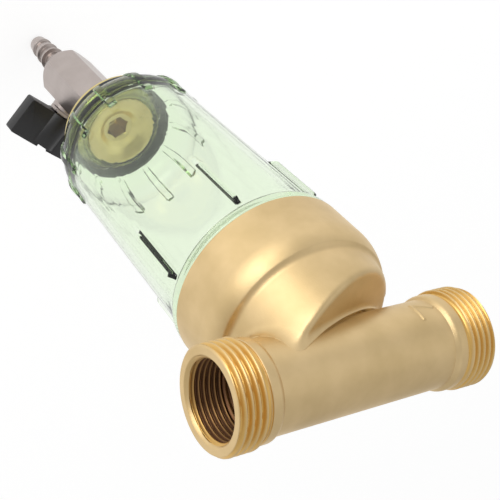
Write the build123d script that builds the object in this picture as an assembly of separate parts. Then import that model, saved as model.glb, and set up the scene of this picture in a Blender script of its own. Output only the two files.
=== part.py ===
from build123d import *
from math import cos, radians, sin, tan
import os

# Spin-down sediment filter for a water pipe.
# The pipe runs along X, the bowl hangs along -Z, and the origin is where the two axes cross.
# All lengths are in millimetres and all angles in degrees.

# Pipe run with a threaded connection at each end
face_to_face = 97.2
pipe_radius = 14.5
passage_radius = 10.5
outer_thread_radius = 16.62
outer_thread_length = 11.4
outer_thread_chamfer = 0.9
cast_collar_radius = 15.7
cast_collar_length = 3.2
cast_collar_taper = 1.3
inner_thread_radius = 12.06
inner_thread_length = 14.0
mouth_radius = 13.35

# Head casting
rim_height = 45.0
rim_radius = 33.4
rim_chamfer = 0.5
shoulder_start = 30.5
shoulder_bend_height = 25.2
shoulder_bend_radius = 32.8
shoulder_height = 21.5
shoulder_radius = 31.3
ledge_height = 20.8
ledge_radius = 30.4
drum_foot_height = 19.3
drum_foot_radius = 29.7
drum_top = 4.0
drum_draft = 9.4
roof_height = -6.8
roof_tilt = 20.3
roof_wall = 3.4
head_wall = 4.2
edge_round = 2.0
junction_round = 3.0
boss_radius = 15.5
boss_bore = 11.6
boss_flat = 0.8
boss_end = 33.0
outlet_top = 2.0
outlet_end = 7.5

# Thread, seal land and flange of the bowl
neck_thread_radius = 29.55
neck_thread_top = 36.4
neck_seal_radius = 28.6
neck_top = 30.8
neck_bore = 25.2
thread_gap = 0.10
seal_gap = 0.05
flange_gap = 0.15
flange_step = 0.3
flange_thickness = 3.5
flange_round = 0.9
seal_section = 2.0
seal_height = 33.6

# Bowl below the head
bowl_top_radius = 31.0
bowl_low_radius = 28.9
bowl_wall = 2.9
bowl_start = 49.6
corner_start = 136.5
corner_middle_radius = 27.5
corner_middle_height = 146.2
shoulder_edge_radius = 22.8
bowl_shoulder = 151.8
bowl_floor = 3.0
well_radius = 15.0
well_depth = 3.4
spigot_wall = 2.6

# Grip ribs under the flange and lugs round the bottom corner
rib_count = 6
rib_phase = -6.0
rib_top = 51.6
rib_bottom = 77.6
rib_width = 1.7
rib_reach = 33.2
rib_end_slope = 4.2
lug_count = 12
lug_phase = 6.0
lug_top = 131.0
lug_width = 2.2
lug_reach = 28.5

# Drain: nut inside the bowl, ring outside it, and their seals
nut_radius = 13.2
nut_thickness = 1.5
nut_rim = 0.6
nut_rim_width = 0.9
nut_crown = 0.9
nut_crown_radius = 5.9
socket_flats = 8.0
socket_depth = 6.0
shank_radius = 8.0
shank_bore = 3.6
shank_engagement = 9.0
inner_gasket_thickness = 0.9
outer_gasket_radius = 23.3
outer_gasket_thickness = 2.4
ring_radius = 22.3
ring_thickness = 3.6
ring_step_radius = 20.6
ring_step = 1.3
hub_radius = 11.4
hub_thickness = 5.2
washer_radius = 9.6
washer_thickness = 1.0

# Ball valve
stem_azimuth = 56.5
hex_flats = 20.0
hex_length = 44.0
hex_chamfer = 4.2
hex_face_radius = 9.3
ball_radius = 6.4
ball_bore = 3.4
ball_from_top = 26.5
chamber_radius = 7.5
seat_thickness = 3.2
seat_gap = 0.05
stem_radius = 3.0
stem_end = 24.0
stem_gap = 0.05
bonnet_radius = 5.6
bonnet_reach = 12.0
gland_radius = 4.9
gland_thickness = 1.8
stem_seal_section = 1.3
stem_seal_room = 0.1
tang_thickness = 2.0
tang_depth = 2.2

# Hose tail
tail_collar_radius = 6.2
tail_collar_length = 3.0
tail_bore = 2.6
tail_length = 28.6
barb_pitch = 5.7
barb_radii = (5.4, 5.0, 4.6)
barb_root = 3.8
tip_radius = 3.8

# Lever handle
handle_start = 14.0
handle_depth = 16.4
handle_reach = 17.0
handle_tail = 12.8
handle_thickness = 7.0
handle_tip_thickness = 5.4
handle_corner = 0.9
hub_round_radius = 6.3
recess_radius = 4.3
recess_depth = 5.0
web_thickness = 1.2
screw_head_radius = 3.4
screw_head_height = 2.2
screw_shank_radius = 1.5
screw_shank_length = 7.0
spring_washer_radius = 3.7
spring_washer_thickness = 0.6

# Screen cartridge up inside the head
screen_ring_radius = 18.2
screen_ring_gap = 0.06
screen_ring_top = 27.5
screen_ring_end = 37.5
screen_ledge = 1.4
screen_ledge_bore = 12.6
screen_seal_section = 1.3
screen_cage_radius = 16.6
screen_cage_wall = 1.2
screen_cage_end = 52.0
screen_posts = 6
screen_post_width = 3.0
screen_cage_hoop = 2.0
screen_mesh_thickness = 0.3
screen_mesh_gap = 0.05
screen_cap_thickness = 2.4

# Worked out from the sizes above
half_run = face_to_face / 2
flange_radius = rim_radius - flange_step
screen_mesh_radius = screen_cage_radius - screen_cage_wall - screen_mesh_gap
thread_start = half_run - outer_thread_length
neck_groove_depth = seal_section
bowl_bottom = bowl_shoulder + well_depth
well_floor = bowl_bottom - bowl_floor
spigot_radius = well_radius + spigot_wall
nut_seat = well_floor - inner_gasket_thickness
ring_top = bowl_shoulder + outer_gasket_thickness
ring_bottom = ring_top + ring_thickness
hub_end = ring_bottom + hub_thickness
valve_top = hub_end + washer_thickness
valve_bottom = valve_top + hex_length
ball_height = valve_top + ball_from_top
hex_corner = hex_flats / 2 / cos(radians(30))
tail_end = valve_bottom + tail_length
screen_cap_end = screen_cage_end + screen_cap_thickness

up = Axis.Z
stem_plane = Plane(
    origin=(0, 0, -ball_height),
    x_dir=(sin(radians(stem_azimuth)), -cos(radians(stem_azimuth)), 0),
    z_dir=(cos(radians(stem_azimuth)), sin(radians(stem_azimuth)), 0),
)


def turned(*edges):
    """Revolve a closed outline, given as edges in radius and height, about the Z axis."""
    return revolve(Plane.XZ * make_face(Curve() + list(edges)), up, 360)


def turned_points(*points):
    """Revolve a closed polygon of (radius, height) points about the Z axis."""
    return revolve(Plane.XZ * make_face(Polyline(*points, close=True)), up, 360)


def ring(outer, inner, low, high):
    """Flat ring between two heights."""
    return turned_points((inner, low), (outer, low), (outer, high), (inner, high))


def torus(middle, section, height):
    """Round-section ring about the Z axis."""
    return Pos(0, 0, height) * Torus(middle, section / 2)


def drum_radius(height):
    """Radius of the drum's drafted wall at a height."""
    return drum_foot_radius - (height + drum_foot_height) * tan(radians(drum_draft))


def head_casting():
    top_radius = drum_radius(drum_top)
    bell = turned(
        Line((0, -rim_height), (rim_radius - rim_chamfer, -rim_height)),
        Line((rim_radius - rim_chamfer, -rim_height), (rim_radius, -rim_height + rim_chamfer)),
        Line((rim_radius, -rim_height + rim_chamfer), (rim_radius, -shoulder_start)),
        ThreePointArc(
            (rim_radius, -shoulder_start),
            (shoulder_bend_radius, -shoulder_bend_height),
            (shoulder_radius, -shoulder_height),
        ),
        ThreePointArc(
            (shoulder_radius, -shoulder_height),
            (ledge_radius, -ledge_height),
            (drum_foot_radius, -drum_foot_height),
        ),
        Line((drum_foot_radius, -drum_foot_height), (top_radius, drum_top)),
        Line((top_radius, drum_top), (0, drum_top)),
        Line((0, drum_top), (0, -rim_height)),
    )
    above_roof = Pos(0, 0, roof_height) * Rot(0, -roof_tilt, 0) * Box(
        4 * rim_radius, 4 * rim_radius, 2 * rim_radius, align=(Align.CENTER, Align.CENTER, Align.MIN)
    )
    drum = bell - above_roof
    crease = drum.edges().filter_by(GeomType.ELLIPSE) + drum.edges().filter_by(GeomType.BSPLINE)
    drum = fillet(crease.filter_by(lambda e: e.center().Z > -drum_foot_height), edge_round)

    run = Rot(0, 90, 0) * Cylinder(pipe_radius, face_to_face)
    body = drum + run
    junction = body.edges().filter_by(on_pipe_wall)
    body = fillet(junction, junction_round)
    for side in (-1, 1):
        body += end_connection(side)
    for side in (-1, 1):
        body -= end_bore(side)
    return body - head_cavity()


def on_pipe_wall(edge):
    """Whether an edge runs along the pipe's outside, where the drum meets it."""
    middle = edge @ 0.5
    off_axis = (middle.Y ** 2 + middle.Z ** 2) ** 0.5
    return abs(off_axis - pipe_radius) < 0.05 and abs(middle.X) < thread_start and abs(middle.Y) > 5


def along_x(shape, side):
    """Turn a piece made along +Z so that it points along +X or -X."""
    return Rot(0, 90 * side, 0) * shape


def end_connection(side):
    collar_start = thread_start - cast_collar_length
    collar = turned_points(
        (0, collar_start - cast_collar_taper),
        (pipe_radius, collar_start - cast_collar_taper),
        (cast_collar_radius, collar_start),
        (cast_collar_radius, thread_start),
        (outer_thread_radius - outer_thread_chamfer, thread_start),
        (outer_thread_radius, thread_start + outer_thread_chamfer),
        (outer_thread_radius, half_run - outer_thread_chamfer),
        (outer_thread_radius - outer_thread_chamfer, half_run),
        (0, half_run),
    )
    return along_x(collar, side)


def end_bore(side):
    mouth = mouth_radius - inner_thread_radius
    step = inner_thread_radius - passage_radius
    bore = turned_points(
        (0, boss_radius - boss_flat),
        (passage_radius, boss_radius - boss_flat),
        (passage_radius, half_run - inner_thread_length - step),
        (inner_thread_radius, half_run - inner_thread_length),
        (inner_thread_radius, half_run - mouth),
        (mouth_radius, half_run),
        (mouth_radius, half_run + 1),
        (0, half_run + 1),
    )
    return along_x(bore, side)


def head_cavity():
    """Space for the bowl's neck, the ring-shaped channel, and the outlet bore down to the screen."""
    seal_bore = neck_seal_radius + seal_gap
    channel_radius = drum_radius(-drum_foot_height) - head_wall
    channel_top_radius = drum_radius(drum_top) - head_wall
    room = turned_points(
        (0, -rim_height),
        (neck_thread_radius + thread_gap + 0.6, -rim_height),
        (neck_thread_radius + thread_gap, -rim_height + 0.6),
        (neck_thread_radius + thread_gap, -neck_thread_top + 0.9),
        (seal_bore, -neck_thread_top + 0.9 + (neck_thread_radius + thread_gap - seal_bore)),
        (seal_bore, -neck_top + 0.6),
        (channel_radius, -shoulder_height - 1.5),
        (channel_radius, -drum_foot_height),
        (channel_top_radius, drum_top),
        (0, drum_top),
    )
    above_ceiling = Pos(0, 0, roof_height - roof_wall) * Rot(0, -roof_tilt, 0) * Box(
        4 * rim_radius, 4 * rim_radius, 2 * rim_radius, align=(Align.CENTER, Align.CENTER, Align.MIN)
    )
    room -= above_ceiling
    boss = ring(boss_radius, 0, -boss_end, drum_top + passage_radius)
    room -= boss
    outlet = Pos(0, 0, -boss_end) * Cylinder(
        boss_bore, boss_end - outlet_top, align=(Align.CENTER, Align.CENTER, Align.MIN)
    )
    outlet_turn = Pos(outlet_end, 0, 0) * Rot(0, -90, 0) * Cylinder(
        passage_radius, outlet_end + boss_radius + 1, align=(Align.CENTER, Align.CENTER, Align.MIN)
    )
    return room + (outlet + outlet_turn)


def bowl():
    neck = -rim_height - flange_gap
    flange_end = neck - flange_thickness
    groove = neck_seal_radius - neck_groove_depth
    half_groove = seal_section / 2 + 0.2
    neck_inner = -bowl_start - 2
    inner_top = bowl_top_radius - bowl_wall
    inner_low = bowl_low_radius - bowl_wall
    floor = -bowl_shoulder + bowl_floor
    inner_corner = (corner_middle_radius - bowl_wall * 0.75, -corner_middle_height + bowl_wall * 0.75)
    floor_edge = shoulder_edge_radius - bowl_wall * 0.8
    body = turned(
        Line((neck_bore, -neck_top), (neck_seal_radius - 0.6, -neck_top)),
        Line((neck_seal_radius - 0.6, -neck_top), (neck_seal_radius, -neck_top - 0.6)),
        Line((neck_seal_radius, -neck_top - 0.6), (neck_seal_radius, -seal_height + half_groove)),
        Line((neck_seal_radius, -seal_height + half_groove), (groove, -seal_height + half_groove)),
        Line((groove, -seal_height + half_groove), (groove, -seal_height - half_groove)),
        Line((groove, -seal_height - half_groove), (neck_seal_radius, -seal_height - half_groove)),
        Line((neck_seal_radius, -seal_height - half_groove), (neck_seal_radius, -neck_thread_top + 0.5)),
        Line((neck_seal_radius, -neck_thread_top + 0.5), (neck_thread_radius, -neck_thread_top)),
        Line((neck_thread_radius, -neck_thread_top), (neck_thread_radius, neck)),
        Line((neck_thread_radius, neck), (flange_radius - flange_round, neck)),
        RadiusArc((flange_radius - flange_round, neck), (flange_radius, neck - flange_round), flange_round),
        Line((flange_radius, neck - flange_round), (flange_radius, flange_end + flange_round)),
        RadiusArc(
            (flange_radius, flange_end + flange_round),
            (flange_radius - flange_round, flange_end),
            flange_round,
        ),
        Line((flange_radius - flange_round, flange_end), (bowl_top_radius, -bowl_start)),
        Line((bowl_top_radius, -bowl_start), (bowl_low_radius, -corner_start)),
        ThreePointArc(
            (bowl_low_radius, -corner_start),
            (corner_middle_radius, -corner_middle_height),
            (shoulder_edge_radius, -bowl_shoulder),
        ),
        Line((shoulder_edge_radius, -bowl_shoulder), (spigot_radius, -bowl_shoulder)),
        Line((spigot_radius, -bowl_shoulder), (spigot_radius, -bowl_bottom)),
        Line((spigot_radius, -bowl_bottom), (shank_radius + thread_gap, -bowl_bottom)),
        Line((shank_radius + thread_gap, -bowl_bottom), (shank_radius + thread_gap, -well_floor)),
        Line((shank_radius + thread_gap, -well_floor), (well_radius, -well_floor)),
        Line((well_radius, -well_floor), (well_radius, floor)),
        Line((well_radius, floor), (floor_edge, floor)),
        ThreePointArc((floor_edge, floor), inner_corner, (inner_low, -corner_start)),
        Line((inner_low, -corner_start), (inner_top, neck_inner)),
        Line((inner_top, neck_inner), (neck_bore, neck_inner + inner_top - neck_bore)),
        Line((neck_bore, neck_inner + inner_top - neck_bore), (neck_bore, -neck_top)),
    )
    for i in range(rib_count):
        body += Rot(0, 0, rib_phase + 360 / rib_count * i) * grip_rib()
    for i in range(lug_count):
        body += Rot(0, 0, lug_phase + 360 / lug_count * i) * bottom_lug()
    return body


def grip_rib():
    root = bowl_low_radius
    outline = Polyline(
        (root, -rib_top),
        (rib_reach - 0.8, -rib_top),
        (rib_reach, -rib_top - 0.8),
        (rib_reach - 0.5, -rib_bottom + rib_end_slope),
        (root, -rib_bottom - 1.5),
        close=True,
    )
    return extrude(Plane.XZ * make_face(outline), rib_width / 2, both=True)


def bottom_lug():
    outline = Polyline(
        (shoulder_edge_radius - 0.4, -bowl_shoulder + 1.4),
        (lug_reach - 2.2, -bowl_shoulder + 1.4),
        (lug_reach, -bowl_shoulder + 3.6),
        (lug_reach + 0.7, -lug_top - 1.2),
        (lug_reach, -lug_top),
        (lug_reach - 1.4, -lug_top - 0.5),
        close=True,
    )
    return extrude(Plane.XZ * make_face(outline), lug_width / 2, both=True)


def bowl_seal():
    return torus(neck_seal_radius - seal_section / 2 + 0.02, seal_section, -seal_height)


def hexagon(flats, low, high):
    """Upright hexagonal bar between two heights, with a flat facing the valve's stem."""
    outline = RegularPolygon(flats / 2, 6, major_radius=False, rotation=30)
    return Pos(0, 0, low) * Rot(0, 0, stem_azimuth) * extrude(outline, high - low)


def inner_drain_nut():
    top = -nut_seat + nut_thickness
    shank_end = -valve_top - shank_engagement
    body = turned_points(
        (0, shank_end),
        (shank_radius - 0.8, shank_end),
        (shank_radius, shank_end + 0.8),
        (shank_radius, -nut_seat),
        (nut_radius, -nut_seat),
        (nut_radius, top + nut_rim - 0.3),
        (nut_radius - 0.3, top + nut_rim),
        (nut_radius - nut_rim_width, top + nut_rim),
        (nut_radius - nut_rim_width - 0.6, top),
        (nut_crown_radius + 0.9, top),
        (nut_crown_radius, top + nut_crown),
        (nut_crown_radius - 1.0, top + nut_crown),
        (nut_crown_radius - 1.3, top + nut_crown - 0.3),
        (0, top + nut_crown - 0.3),
    )
    socket = hexagon(socket_flats, top + nut_crown - socket_depth, top + nut_crown + 1)
    bore = ring(shank_bore, 0, shank_end - 1, top)
    return body - socket - bore


def inner_gasket():
    return ring(nut_radius - 0.3, shank_radius + 0.2, -well_floor, -nut_seat)


def outer_gasket():
    middle = (ring_top + bowl_shoulder) / 2
    inner = spigot_radius + 0.2
    bulge = 0.5
    return turned(
        Line((inner, -ring_top), (outer_gasket_radius - bulge, -ring_top)),
        ThreePointArc(
            (outer_gasket_radius - bulge, -ring_top),
            (outer_gasket_radius, -middle),
            (outer_gasket_radius - bulge, -bowl_shoulder),
        ),
        Line((outer_gasket_radius - bulge, -bowl_shoulder), (inner, -bowl_shoulder)),
        Line((inner, -bowl_shoulder), (inner, -ring_top)),
    )


def outer_flange_ring():
    recess = spigot_radius + thread_gap
    bore = shank_radius + thread_gap / 2
    return turned_points(
        (bore, -hub_end),
        (hub_radius - 0.6, -hub_end),
        (hub_radius, -hub_end + 0.6),
        (hub_radius, -ring_bottom),
        (ring_step_radius - 0.5, -ring_bottom),
        (ring_step_radius, -ring_bottom + 0.5),
        (ring_step_radius, -ring_bottom + ring_step),
        (ring_radius - 0.3, -ring_bottom + ring_step),
        (ring_radius, -ring_bottom + ring_step + 0.3),
        (ring_radius, -ring_top - 0.4),
        (ring_radius - 0.4, -ring_top),
        (recess, -ring_top),
        (recess, -bowl_bottom),
        (bore, -bowl_bottom),
    )


def valve_washer():
    return ring(washer_radius, shank_radius + 0.2, -valve_top, -hub_end)


def valve_body():
    bar = hexagon(hex_flats, -valve_bottom, -valve_top)
    chamfered_end = turned_points(
        (0, -valve_bottom),
        (hex_face_radius, -valve_bottom),
        (2 * hex_corner - hex_face_radius, -valve_bottom + 2 * hex_chamfer),
        (2 * hex_corner - hex_face_radius, -valve_top - hex_corner + hex_face_radius),
        (hex_face_radius + 1.0, -valve_top),
        (0, -valve_top),
    )
    bonnet = stem_plane * Cylinder(
        bonnet_radius, bonnet_reach, align=(Align.CENTER, Align.CENTER, Align.MIN)
    )
    body = (bar & chamfered_end) + bonnet
    body -= ring(shank_radius + thread_gap / 2, 0, -valve_top - shank_engagement - 0.6, -valve_top + 1)
    body -= ring(shank_bore, 0, -ball_height, -valve_top)
    chamber_top = -ball_height + ball_radius * 0.72 + seat_thickness
    body -= ring(chamber_radius, 0, -valve_bottom - 1, chamber_top)
    bore = Cylinder(stem_radius + stem_gap, bonnet_reach + 1, align=(Align.CENTER, Align.CENTER, Align.MIN))
    return body - stem_plane * bore


def ball_seat(side):
    """Soft ring that the ball turns against, above it or below it."""
    near = ball_radius * 0.52
    far = ball_radius * 0.72 + seat_thickness
    blank = ring(chamber_radius - 0.05, ball_bore + 0.2, near, far)
    blank -= Sphere(ball_radius + seat_gap)
    return Pos(0, 0, -ball_height) * Rot(0 if side > 0 else 180, 0, 0) * blank


def valve_ball():
    ball = Sphere(ball_radius) - Rot(0, 90, 0) * Cylinder(ball_bore, ball_radius * 3)
    slot = Pos(0, 0, ball_radius - tang_depth) * Box(
        ball_radius * 2, tang_thickness + 0.2, tang_depth * 2, align=(Align.CENTER, Align.CENTER, Align.MIN)
    )
    return stem_plane * (ball - slot)


def valve_stem():
    foot = ball_radius + 0.3
    shaft = Pos(0, 0, foot) * Cylinder(
        stem_radius, stem_end - foot, align=(Align.CENTER, Align.CENTER, Align.MIN)
    )
    tang = Pos(0, 0, ball_radius - tang_depth + 0.2) * Box(
        stem_radius * 1.6, tang_thickness, tang_depth + 0.2, align=(Align.CENTER, Align.CENTER, Align.MIN)
    )
    hole = Pos(0, 0, stem_end - screw_shank_length) * Cylinder(
        screw_shank_radius, screw_shank_length, align=(Align.CENTER, Align.CENTER, Align.MIN)
    )
    body = shaft + tang - hole
    groove_floor = stem_radius - stem_seal_section - stem_seal_room
    half_groove = stem_seal_section / 2 + stem_seal_room
    for height in stem_seal_heights():
        body -= ring(stem_radius + 1, groove_floor, height - half_groove, height + half_groove)
    return stem_plane * body


def stem_seal_heights():
    return (bonnet_reach - 3.6, bonnet_reach - 1.6)


def stem_seals():
    middle = stem_radius - stem_seal_section / 2
    return [stem_plane * Pos(0, 0, height) * Torus(middle, stem_seal_section / 2)
            for height in stem_seal_heights()]


def gland_nut():
    outline = RegularPolygon(gland_radius, 6, major_radius=False)
    nut = Pos(0, 0, bonnet_reach) * extrude(outline, gland_thickness)
    cone = Pos(0, 0, bonnet_reach) * Cone(
        gland_radius * 1.5,
        gland_radius * 0.98,
        gland_thickness + 0.6,
        align=(Align.CENTER, Align.CENTER, Align.MIN),
    )
    hole = Cylinder(stem_radius + stem_gap, bonnet_reach * 4)
    return stem_plane * ((nut & cone) - hole)


def valve_handle():
    length = handle_reach + handle_tail
    middle = (handle_reach - handle_tail) / 2
    outer = handle_start + handle_depth
    side = make_face(Polyline(
        (-handle_tail, -handle_tip_thickness / 2),
        (-hub_round_radius, -handle_thickness / 2),
        (hub_round_radius, -handle_thickness / 2),
        (handle_reach, -handle_tip_thickness / 2),
        (handle_reach, handle_tip_thickness / 2),
        (hub_round_radius, handle_thickness / 2),
        (-hub_round_radius, handle_thickness / 2),
        (-handle_tail, handle_tip_thickness / 2),
        close=True,
    ))
    wing = Pos(0, 0, handle_start) * extrude(side, handle_depth)
    envelope = Pos(middle, 0, (handle_start + outer) / 2) * Rot(90, 0, 0) * extrude(
        RectangleRounded(length, handle_depth, handle_corner), handle_thickness, both=True
    )
    wing &= envelope
    hub = Pos(0, 0, handle_start) * Cylinder(
        hub_round_radius, handle_depth - 1.5, align=(Align.CENTER, Align.CENTER, Align.MIN)
    )
    body = wing + hub
    recess_floor = stem_end + web_thickness
    body -= Cylinder(stem_radius, stem_end, align=(Align.CENTER, Align.CENTER, Align.MIN))
    body -= Cylinder(screw_shank_radius + 0.2, outer * 2)
    body -= Pos(0, 0, recess_floor) * Cylinder(
        recess_radius, recess_depth * 2, align=(Align.CENTER, Align.CENTER, Align.MIN)
    )
    return stem_plane * body


def handle_washer():
    blank = Cylinder(
        spring_washer_radius, spring_washer_thickness, align=(Align.CENTER, Align.CENTER, Align.MIN)
    )
    hole = Cylinder(screw_shank_radius + 0.1, spring_washer_thickness * 4)
    return stem_plane * Pos(0, 0, stem_end + web_thickness) * (blank - hole)


def handle_screw():
    seat = stem_end + web_thickness + spring_washer_thickness
    head = Pos(0, 0, seat) * Cylinder(
        screw_head_radius, screw_head_height, align=(Align.CENTER, Align.CENTER, Align.MIN)
    )
    head = fillet(head.edges().sort_by(Axis.Z)[-1], screw_head_height * 0.45)
    length = screw_shank_length + seat - stem_end - 0.5
    shank = Pos(0, 0, seat - length) * Cylinder(
        screw_shank_radius, length, align=(Align.CENTER, Align.CENTER, Align.MIN)
    )
    arm = Box(screw_head_radius * 1.2, 0.9, 2.4)
    cross = Pos(0, 0, seat + screw_head_height) * (arm + Rot(0, 0, 90) * arm)
    return stem_plane * (head + shank - cross)


def hose_tail():
    first = -valve_bottom - tail_length + 3.4
    plug_top = -ball_height - ball_radius * 0.72 - seat_thickness
    points = [
        (tail_bore, plug_top),
        (chamber_radius - 0.05, plug_top),
        (chamber_radius - 0.05, -valve_bottom),
        (tail_collar_radius, -valve_bottom),
        (tail_collar_radius, -valve_bottom - tail_collar_length + 0.4),
        (tail_collar_radius - 0.4, -valve_bottom - tail_collar_length),
        (barb_root, -valve_bottom - tail_collar_length),
    ]
    for i, radius in enumerate(barb_radii):
        crest = first + barb_pitch * (len(barb_radii) - 1 - i) + 2.6
        points.append((barb_root, crest + 0.5))
        points.append((radius, crest))
        points.append((radius, crest - 0.5))
        points.append((barb_root + 0.1 * (2 - i), crest - barb_pitch + 1.0))
    points.append((tip_radius, -tail_end + 1.0))
    points.append((tip_radius - 0.8, -tail_end))
    points.append((tail_bore, -tail_end))
    return turned_points(*points)


def screen_top_ring():
    inner = boss_radius + screen_ring_gap
    ledge = boss_end + 0.15
    groove = -screen_ring_top - 2.6
    half = screen_seal_section / 2
    return turned_points(
        (inner + 0.5, -screen_ring_top),
        (screen_ring_radius, -screen_ring_top),
        (screen_ring_radius, -screen_ring_end),
        (screen_cage_radius - screen_cage_wall, -screen_ring_end),
        (screen_cage_radius - screen_cage_wall, -ledge - screen_ledge),
        (screen_ledge_bore, -ledge - screen_ledge),
        (screen_ledge_bore, -ledge),
        (inner, -ledge),
        (inner, groove - half - 0.1),
        (inner + screen_seal_section, groove - half - 0.1),
        (inner + screen_seal_section, groove + half + 0.1),
        (inner, groove + half + 0.1),
        (inner, -screen_ring_top - 0.5),
    )


def screen_seal():
    middle = boss_radius + screen_ring_gap / 2 + screen_seal_section / 2
    return torus(middle, screen_seal_section, -screen_ring_top - 2.6)


def screen_cage():
    inner = screen_cage_radius - screen_cage_wall
    tube = ring(screen_cage_radius, inner, -screen_cage_end, -screen_ring_end)
    windows_low = -screen_cage_end + screen_cage_hoop
    windows_high = -screen_ring_end - screen_cage_hoop
    opened = ring(screen_cage_radius + 1, inner - 1, windows_low, windows_high)
    for i in range(screen_posts):
        post = Pos(screen_cage_radius, 0, (windows_low + windows_high) / 2) * Box(
            6, screen_post_width, windows_high - windows_low
        )
        opened -= Rot(0, 0, 360 / screen_posts * i) * post
    return tube - opened


def screen_mesh():
    inner = screen_mesh_radius - screen_mesh_thickness
    return ring(screen_mesh_radius, inner, -screen_cage_end, -screen_ring_end)


def screen_end_cap():
    plug = screen_mesh_radius - screen_mesh_thickness - screen_mesh_gap
    return turned_points(
        (0, -screen_cap_end),
        (screen_cage_radius - 1.2, -screen_cap_end),
        (screen_cage_radius, -screen_cap_end + 1.2),
        (screen_cage_radius, -screen_cage_end),
        (plug, -screen_cage_end),
        (plug, -screen_cage_end + 1.6),
        (plug - 1.2, -screen_cage_end + 1.6),
        (plug - 1.2, -screen_cage_end),
        (0, -screen_cage_end),
    )


nodes = {
    "head_casting": head_casting,
    "bowl": bowl,
    "bowl_seal": bowl_seal,
    "screen_top_ring": screen_top_ring,
    "screen_seal": screen_seal,
    "screen_cage": screen_cage,
    "screen_mesh": screen_mesh,
    "screen_end_cap": screen_end_cap,
    "inner_drain_nut": inner_drain_nut,
    "inner_gasket": inner_gasket,
    "outer_gasket": outer_gasket,
    "outer_flange_ring": outer_flange_ring,
    "valve_washer": valve_washer,
    "valve_body": valve_body,
    "upper_ball_seat": lambda: ball_seat(1),
    "lower_ball_seat": lambda: ball_seat(-1),
    "valve_ball": valve_ball,
    "valve_stem": valve_stem,
    "stem_seals": stem_seals,
    "gland_nut": gland_nut,
    "valve_handle": valve_handle,
    "handle_washer": handle_washer,
    "handle_screw": handle_screw,
    "hose_tail": hose_tail,
}

os.makedirs("parts", exist_ok=True)
for name, make in nodes.items():
    made = make()
    shape = Compound(children=made) if isinstance(made, list) else made
    shape.label = name
    export_step(shape, f"parts/{name}.step")
    print(name, round(shape.volume, 1))
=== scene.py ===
import bmesh
import bpy
import numpy as np
from mathutils import Matrix, Vector


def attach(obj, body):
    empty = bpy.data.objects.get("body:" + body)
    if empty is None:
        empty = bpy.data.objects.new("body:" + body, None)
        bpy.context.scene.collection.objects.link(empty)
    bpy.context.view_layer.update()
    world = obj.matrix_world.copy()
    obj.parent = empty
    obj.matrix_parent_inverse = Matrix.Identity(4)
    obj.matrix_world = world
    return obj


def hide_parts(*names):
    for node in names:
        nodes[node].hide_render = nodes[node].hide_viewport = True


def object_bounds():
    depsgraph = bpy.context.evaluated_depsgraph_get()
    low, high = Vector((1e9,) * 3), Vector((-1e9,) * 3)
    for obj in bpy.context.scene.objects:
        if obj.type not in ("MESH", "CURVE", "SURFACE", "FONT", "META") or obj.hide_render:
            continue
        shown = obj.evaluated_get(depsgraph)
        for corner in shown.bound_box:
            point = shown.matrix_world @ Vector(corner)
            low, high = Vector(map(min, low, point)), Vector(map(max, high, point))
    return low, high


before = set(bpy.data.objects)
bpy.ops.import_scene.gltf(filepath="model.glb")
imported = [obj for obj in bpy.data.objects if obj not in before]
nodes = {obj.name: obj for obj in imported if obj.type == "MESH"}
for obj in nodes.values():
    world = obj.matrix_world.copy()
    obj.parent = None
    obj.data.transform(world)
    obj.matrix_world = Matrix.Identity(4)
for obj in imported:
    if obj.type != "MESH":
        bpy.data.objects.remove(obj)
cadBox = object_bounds()
mm = 0.001
mergeDistance = 0.002 * mm
print("frame loaded with", len(nodes), "nodes")


# ways to turn arrays into closed meshes

# The deep bore value paints a dark shade into bores and passages.
unworked, threadFlank, paintedBoreShade = 0.0, 1.0, 2.0
bendRule = dict(most=0.42, edge=0.1, mostEdge=0.48, same=1e-4, apart=1e-9)


# A corner of the outline becomes a parabola that leaves each side at the bend's distance,
# with one more point on each side so that the flat beyond it stays flat.
def bendCorners(corners, bends, steps=6, loop=True):
    p = np.asarray(corners, float)
    before, after = np.roll(p, 1, 0), np.roll(p, -1, 0)
    inLen = np.linalg.norm(before - p, axis=1) + bendRule["apart"]
    outLen = np.linalg.norm(after - p, axis=1) + bendRule["apart"]
    inWay, outWay = (before - p) / inLen[:, None], (after - p) / outLen[:, None]
    room = np.minimum(inLen, outLen)
    bend = np.minimum(np.broadcast_to(np.asarray(bends, float), room.shape), bendRule["most"] * room)
    edge = np.minimum(bend + bendRule["edge"], bendRule["mostEdge"] * room)
    t = np.linspace(0, 1, steps)[None, :, None]
    start, end = p + inWay * bend[:, None], p + outWay * bend[:, None]
    arc = (1 - t) ** 2 * start[:, None] + 2 * t * (1 - t) * p[:, None] + t ** 2 * end[:, None]
    before, after = p + inWay * edge[:, None], p + outWay * edge[:, None]
    rows = np.concatenate([before[:, None], arc, after[:, None]], 1)
    if not loop:
        rows[0], rows[-1] = p[0], p[-1]
    line = rows.reshape(-1, 2)
    keep = np.r_[True, np.linalg.norm(np.diff(line, axis=0), axis=1) > bendRule["same"]]
    return line[keep]


# Circle arc through three points of an outline.
def arcThrough(a, b, c, steps):
    a, b, c = (np.asarray(q, float) for q in (a, b, c))
    m = 2 * np.array([b - a, c - a])
    centre = np.linalg.solve(m, np.array([b @ b - a @ a, c @ c - a @ a]))
    ends = np.unwrap([np.arctan2(*(q - centre)[::-1]) for q in (a, b, c)])
    angle = np.linspace(ends[0], ends[2], steps)
    return centre + np.linalg.norm(a - centre) * np.stack([np.cos(angle), np.sin(angle)], 1)


def fullTurn(columns):
    return 2 * np.pi * np.arange(columns) / columns


# Points round the Z axis: radius and height may each be one value or one for each angle.
def ringOf(r, z, angle):
    return np.stack([r * np.cos(angle), r * np.sin(angle), z + 0 * angle], -1)


# Every (radius, height) point of the outline goes once round the Z axis.
def spin(outline, columns):
    return np.stack([ringOf(r, z, fullTurn(columns)) for r, z in outline])


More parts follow.
